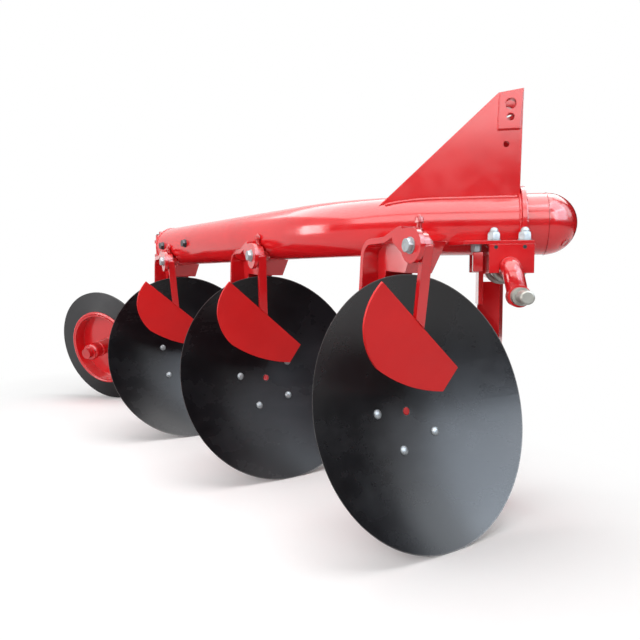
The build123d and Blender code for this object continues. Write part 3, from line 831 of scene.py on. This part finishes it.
# nose, wheel, kingpin and stand
PLUG_PX = (565, 243)
PLUG_PROFILE = ((AXIS_R, -SINK), (11, -SINK), (11, 1.2), (9.5, 2), (8, 1.4), (AXIS_R, 0.9))


def nose_plug():
    """Small round plug in the lower half of the nose, where the photograph shows one."""
    batch = Batch()
    place = frame_on(*cast(ray_tree("beam"), *camera_ray(*PLUG_PX)))
    batch.lathe(place, PLUG_PROFILE, 32)
    batch.piece("nose_plug", "frame", RED_SHADED, "paint_red")


LIP_R, LIP_BEAD, LIP_OUT, LIP_RAY_R = 183.5, 8.2, 1, 186
BACK_LIP_R, BACK_LIP_BEAD, BACK_RAY_R = 182, 4.0, 184
WHEEL_RAY = 300
HUB_RING = ((38.2, 40), (40.5, 42), (40.5, 50), (38.2, 52))
HUB_CAP = ((38.2, 84), (41, 86), (41, 98), (36, 108.5), (25.8, 109))
HUB_WELD_R, HUB_WELD_Z, HUB_BEAD = 39, -23, 3.2
WHEEL_SEAL = ((23, 88), (34, 88), (34, 93), (23, 95))


def wheel_trim():
    """Rolled lip round the pan, rings on the hub, its cap and the seal at the back."""
    place = joint_frame("furrow_wheel_spin")
    axis = place.col[2].to_3d()
    lip = Batch()

    def height_of(tree, radius, from_z, way):
        hit, _ = cast(tree, place @ polar(radius, 0, from_z), way)
        return (place.inverted() @ hit).z / MM

    front = height_of(ray_tree("wheel_ring"), LIP_RAY_R, WHEEL_RAY, -axis)
    back = height_of(ray_tree("wheel_ring", "wheel_pan"), BACK_RAY_R, -WHEEL_RAY, axis)
    lip.tube(circle(place, LIP_R, front + LIP_OUT, steps=120), LIP_BEAD, 12)
    lip.tube(circle(place, BACK_LIP_R, back, steps=120), BACK_LIP_BEAD, 8)
    lip.lathe(place, HUB_RING, 48)
    lip.lathe(place, HUB_CAP, 48)
    weld(lip, circle(place, HUB_WELD_R, HUB_WELD_Z), HUB_BEAD, ring=True)
    lip.piece("wheel_lip", "furrow_wheel", RED, "paint_red")
    seal = Batch()
    seal.lathe(from_behind(place), WHEEL_SEAL, 40)
    seal.piece("wheel_seal", "furrow_wheel", DARK_STEEL, "steel")


KING_WASHER_R, KING_WASHER_IN, KING_WASHER_T = 33, 22.2, 4


def king_trim():
    """Washer on top of the kingpin's sleeve, and a clamp screw on the sleeve's far side."""
    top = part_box("wheel_bracket")[1].z / MM
    washer = Batch()
    place = frame_on(level(KING, 0), UP)
    washer.plate(place, KING_WASHER_R, top, top + KING_WASHER_T, 40, KING_WASHER_IN)
    washer.piece("kingpin_washer", "frame", DARK_STEEL, "steel")
    screw = Batch()
    start = level(KING, BEAM_Z) + ACROSS * 0.3
    screw.nut(frame_on(*cast(ray_tree("wheel_bracket"), start, -ACROSS)), **SLEEVE_SCREW)
    screw.piece("sleeve_screw", "frame", ZINC, "steel")


STAND_YAW = -14
STAND_HALF, LOCK_Z = 30, 330
LOCK_BOSS = ((AXIS_R, -SINK), (13, -SINK), (13, 10), (11, 12), (AXIS_R, 12))
LOCK_PIN = ((AXIS_R, 0), (7, 0), (7, 30), (5.5, 32), (AXIS_R, 32))
LOCK_RING_R, LOCK_RING_BAR, LOCK_RING_OUT = 17, 2, 25


def stand_pin():
    """Lock pin with its ring on the far side of the stand's tube."""
    batch = Batch()
    outward = Matrix.Rotation(math.radians(STAND_YAW), 3, "Z") @ Vector((0, 1, 0))
    low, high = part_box("stand_leg")
    place = frame_on(level((low + high) / 2, LOCK_Z) + outward * (STAND_HALF * MM), outward)
    batch.lathe(place, LOCK_BOSS, 32)
    batch.lathe(place, LOCK_PIN)
    hung = place @ polar(0, 0, LOCK_RING_OUT) - UP * (LOCK_RING_R * MM)
    loop = frame_on(hung, outward.cross(UP))
    batch.tube(circle(loop, LOCK_RING_R, steps=48), LOCK_RING_BAR, 8)
    batch.piece("stand_lock_pin", "frame", ZINC, "steel")


# camera
CAMERA_PLACE = Vector((0.0154, -1.4354, 0.6217))  # from the ground under disc 1
CAMERA_HEADING = 101.1
CAMERA_DOWN = 3.72
CAMERA_LENS = 33.75
SENSOR = 36.0
FRAME_PX = 640


def camera_ahead():
    heading, down = math.radians(CAMERA_HEADING), math.radians(CAMERA_DOWN)
    share = math.cos(down)
    return Vector((math.cos(heading) * share, math.sin(heading) * share, -math.sin(down)))


def camera_ray(px, py):
    """Start and direction of the sight line through a place in the 640 x 640 frame."""
    ahead = camera_ahead()
    right = ahead.cross(UP).normalized()
    up = right.cross(ahead)
    length = FRAME_PX * CAMERA_LENS / SENSOR
    middle = FRAME_PX / 2
    way = ahead + right * ((px - middle) / length) + up * ((middle - py) / length)
    return GROUND + CAMERA_PLACE, way


def look(obj, place, way):
    """Puts a camera or a light at a place, looking along way."""
    obj.location = place
    obj.rotation_mode = "QUATERNION"
    obj.rotation_quaternion = way.to_track_quat("-Z", "Y")


def make_camera():
    data = bpy.data.cameras.new("camera")
    data.lens = CAMERA_LENS
    data.sensor_width = SENSOR
    data.sensor_fit = "HORIZONTAL"
    data.clip_start = 0.05
    data.clip_end = 200.0
    obj = in_scene("camera", data)
    look(obj, GROUND + CAMERA_PLACE, camera_ahead())
    bpy.context.scene.camera = obj


# floor: paper that fades to plain white, further out along the line of discs than across it
FLOOR_HALF = 30.0
FLOOR_SEEN = (0.965, 0.985)
FLOOR_BOUNCE = (0.80, 0.80, 0.80)
FADE_MIDDLE_S = 1000
FADE_SHARE_ALONG = 0.45
FADE = (0.56, 1.1)


def floor_paper():
    s = Shader("floor_paper")
    grain = s.range(s.noise(3.0, 3.0), 0.2, 0.8, *FLOOR_SEEN)
    to_camera = s.add("LightPath").outputs["Is Camera Ray"]
    colour = s.mix(to_camera, FLOOR_BOUNCE, s.mix(grain, BLACK, WHITE))
    s.set(Base_Color=colour, Roughness=0.9, Specular_IOR_Level=0.0)
    from_middle = s.vector("SUBTRACT", s.place, at_unit(1, FADE_MIDDLE_S))
    along = s.mapped(from_middle, Rotation=(0, 0, -math.atan2(LINE.y, LINE.x)))
    away = s.vector("LENGTH", s.vector("MULTIPLY", along, (FADE_SHARE_ALONG, 1.0, 1.0)))
    glow = s.add("Emission")
    s.feed(glow.inputs["Strength"], 1.0)
    blend = s.add("MixShader")
    s.feed(blend.inputs[0], s.times(s.seen(), s.range(away, *FADE)))
    s.feed(blend.inputs[1], s.bsdf.outputs[0])
    s.feed(blend.inputs[2], glow.outputs[0])
    out = next(n for n in s.tree.nodes if n.type == "OUTPUT_MATERIAL")
    s.feed(out.inputs["Surface"], blend.outputs[0])
    return s.mat


def studio_mesh(name, verts, faces, material):
    """Mesh object that belongs to the studio and not to the plough."""
    mesh = bpy.data.meshes.new(name)
    mesh.from_pydata(verts, [], faces)
    mesh.materials.append(material)
    return in_scene(name, mesh)


def make_floor():
    h = FLOOR_HALF
    corners = [(-h, -h, 0), (h, -h, 0), (h, h, 0), (-h, h, 0)]
    floor = studio_mesh("floor", corners, [(0, 1, 2, 3)], floor_paper())


# flag: azimuth in degrees and height of each upright, round disc 1
FLAG_R = 5.5
FLAG_TOPS = (
    (-165, 2.0), (-140, 2.0), (-120, 2.0), (-90, 2.0), (-60, 2.0), (-30, 1.6), (-5, 1.3), (14, 1.3),
    (18, 7.5), (35, 7.5), (60, 7.5), (75, 5.0),
)
CLOTH = (0.02, 0.02, 0.02)


def make_flag():
    """Dark cloth round the front and right of the studio, which only gloss sees."""
    verts = []
    for azimuth, top in FLAG_TOPS:
        a = math.radians(azimuth)
        x, y = GROUND.x + FLAG_R * math.cos(a), GROUND.y + FLAG_R * math.sin(a)
        verts += [(x, y, 0.0), (x, y, top)]
    faces = [(k, k + 2, k + 3, k + 1) for k in range(0, len(verts) - 2, 2)]
    s = Shader("flag_cloth")
    cloth = s.set(Base_Color=CLOTH, Roughness=1.0, Specular_IOR_Level=0.0)
    flag = studio_mesh("flag", verts, faces, cloth)
    flag.visible_camera = False
    flag.visible_diffuse = False
    flag.visible_shadow = False


# world and softboxes
WORLD_DIFFUSE, WORLD_SEEN = 0.35, 1.0


def make_world():
    """White for all that is seen or mirrored, dimmer as light."""
    world = bpy.data.worlds.new("studio")
    bpy.context.scene.world = world
    world.use_nodes = True
    world.node_tree.nodes.clear()
    s = Nodes(world.node_tree)
    back = s.add("Background")
    s.feed(back.inputs["Color"], WHITE)
    s.feed(back.inputs["Strength"], s.range(s.seen(), 0.0, 1.0, WORLD_DIFFUSE, WORLD_SEEN))
    s.feed(s.add("OutputWorld").inputs["Surface"], back.outputs[0])


# name, place and aim from disc 1 on the ground, width, height, radiance, colour, and its use:
# a "light" falls on surfaces but isn't mirrored, a "shine" is only mirrored
SOFTBOXES = (
    ("top_box", (-0.5, 0.4, 3.3), (-0.5, 0.4, 0), 3.2, 3.2, 2.6, WHITE, "light"),
    ("front_box", (-0.7, -3.7, 2.2), (-0.6, 0.3, 0.5), 5.6, 1.8, 3.0, WHITE, "light"),
    ("left_box", (-3.6, -1.6, 1.6), (-0.4, 0.3, 0.5), 2.2, 2.0, 3.4, WHITE, "light"),
    ("top_sheet", (-1.2, 0.2, 3.25), (-1.2, 0.2, 0), 4.6, 5.0, 3.9, WHITE, "shine"),
    ("front_sheet", (-0.6, -3.4, 2.7), (-0.6, 4.6, 0), 7.5, 1.8, 3.9, WHITE, "shine"),
    ("right_sheet", (2.9, -1.9, 2.3), (0, 0, 0.4), 3.4, 2.2, 7.0, (0.74, 0.86, 1.0), "shine"),
    ("high_sheet", (2.3, -1.1, 4.1), (0, 0, 0.2), 3.0, 2.6, 6.6, (0.78, 0.89, 1.0), "shine"),
    ("side_sheet", (3.14, 0.35, 2.6), (0, 0, 0.2), 1.5, 2.0, 3.2, (0.82, 0.91, 1.0), "shine"),
    ("far_sheet", (1.5, 2.0, 3.2), (-0.5, 0.4, 0.3), 2.0, 1.5, 5.0, WHITE, "shine"),
    ("left_sheet", (-4.2, -0.9, 0.9), (-0.4, -0.3, 0.8), 1.3, 1.8, 9.0, WHITE, "shine"),
)


def make_lights():
    for name, place, aim, width, height, radiance, colour, use in SOFTBOXES:
        data = bpy.data.lights.new(name, "AREA")
        data.shape = "RECTANGLE"
        data.size = width
        data.size_y = height
        data.energy = radiance * math.pi * width * height
        data.color = colour
        obj = in_scene(name, data)
        look(obj, GROUND + Vector(place), Vector(aim) - Vector(place))
        obj.visible_camera = False
        obj.visible_glossy = use == "shine"
        obj.visible_diffuse = use == "light"


make_camera()
make_floor()
make_flag()
make_world()
make_lights()
paint_nodes()
for unit in UNITS:
    disc_bolts(unit)
    spindle_end(unit)
    clamp_bolt(unit)
    set_screw(unit)
beam_bolts()
hitch_clamps()
box_end_shade_patches()
saddle_stops()
frame_welds()
nose_plug()
wheel_trim()
king_trim()
stand_pin()
bpy.context.scene.view_settings.view_transform = "Standard"
